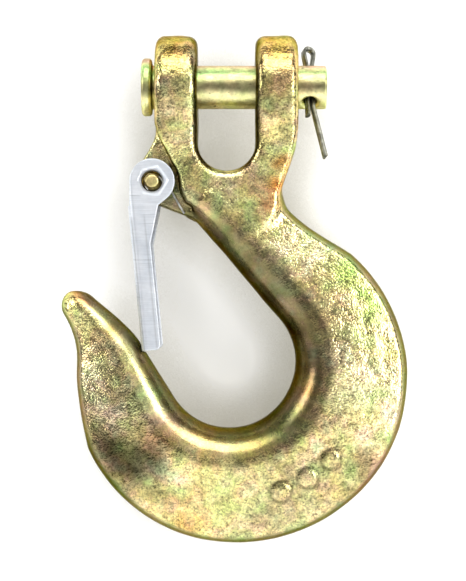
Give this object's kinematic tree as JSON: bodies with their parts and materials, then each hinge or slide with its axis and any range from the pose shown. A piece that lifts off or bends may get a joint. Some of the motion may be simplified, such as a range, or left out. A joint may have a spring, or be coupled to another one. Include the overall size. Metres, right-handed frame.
{
  "type": "clevis slip hook with latch",
  "caption": "Forged steel slip hook for a safety chain, with a clevis and headed pin at the top, an open bowl and point, and a sprung sheet latch across the throat.",
  "frame": {"origin": "middle of the clevis pin, where the chain's last link pulls", "axes": "+X along the clevis pin towards its cotter, +Y through the hook's thickness, +Z from the bowl up to the clevis"},
  "size_m": [0.1019, 0.0302, 0.1493],
  "materials": {
    "yellow_zinc_forging": "yellow zinc plating over a rough forged surface, iridescent",
    "yellow_zinc_pin": "yellow zinc plating over a turned surface, iridescent",
    "bright_zinc_sheet": "bright zinc plating on pressed sheet, lightly scratched",
    "plain_steel": "dull drawn wire",
    "spring_wire": "drawn spring wire"
  },
  "bodies": {
    "hook": {"hook_body": "yellow_zinc_forging", "latch_pin": "yellow_zinc_pin", "latch_spring": "spring_wire"},
    "pin": {"clevis_pin": "yellow_zinc_pin"},
    "cotter": {"cotter_pin": "plain_steel"},
    "latch": {"latch": "bright_zinc_sheet"}
  },
  "joints": [
    {"name": "latch_swing", "type": "hinge", "parent": "hook", "child": "latch", "pos_m": [-0.0216, 0, -0.0282], "axis": [0, -1, 0], "range_deg": [0, 32], "stiffness_Nm_per_rad": 0.23, "springref_deg": -29.79, "deforming": ["latch_spring"]},
    {"name": "pin_turn", "type": "hinge", "parent": "hook", "child": "pin", "pos_m": [0, 0, 0], "axis": [1, 0, 0], "continuous": true},
    {"name": "cotter_turn", "type": "hinge", "parent": "pin", "child": "cotter", "pos_m": [0.0245, 0, 0], "axis": [0, 0.5592, 0.829], "range_deg": [-164, 116]}
  ]
}
